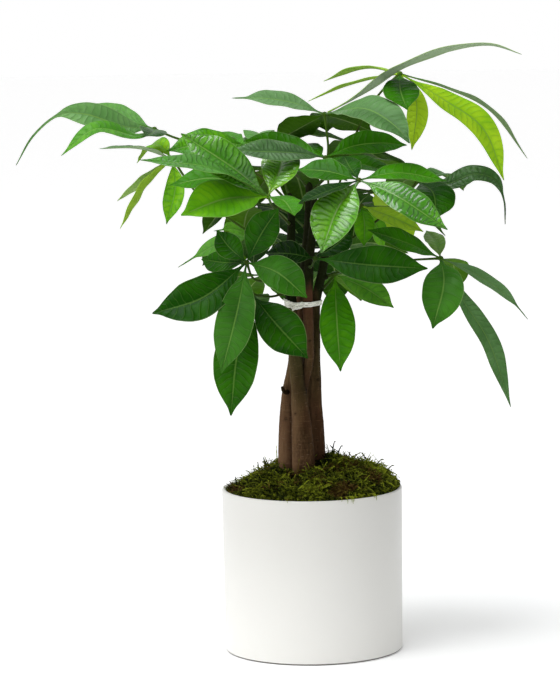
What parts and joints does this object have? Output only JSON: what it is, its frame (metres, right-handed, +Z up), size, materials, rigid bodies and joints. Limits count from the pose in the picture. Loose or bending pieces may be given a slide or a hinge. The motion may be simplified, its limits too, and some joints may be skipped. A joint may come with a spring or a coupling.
{
  "type": "potted money tree",
  "caption": "Money tree with bound stems and hand-shaped glossy leaves, standing in moss in a plain round white pot.",
  "frame": {"origin": "middle of the pot's foot, on the surface that it stands on", "axes": "+Z up along the pot's axis; -Y towards the side that the picture shows; +X to the right seen from there"},
  "size_m": [0.5095, 0.3176, 0.6063],
  "materials": {
    "pot": "satin",
    "soil": "matte",
    "moss": "matte",
    "bark": "matte",
    "tie": "matte",
    "leaf": "glossy"
  },
  "bodies": {
    "root": {"pot": "pot", "soil": "soil", "moss": "moss", "trunk_front": "bark", "trunk_left": "bark", "trunk_right": "bark", "tie": "tie", "leaf_01": "leaf", "leaf_02": "leaf", "leaf_03": "leaf", "leaf_04": "leaf", "leaf_05": "leaf", "leaf_06": "leaf", "leaf_07": "leaf", "leaf_08": "leaf", "leaf_09": "leaf", "leaf_10": "leaf", "leaf_11": "leaf", "leaf_12": "leaf", "leaf_13": "leaf", "leaf_14": "leaf", "leaf_15": "leaf", "leaf_16": "leaf", "leaf_17": "leaf", "leaf_18": "leaf", "leaf_19": "leaf", "leaf_20": "leaf", "leaf_21": "leaf", "leaf_22": "leaf"}
  },
  "joints": []
}
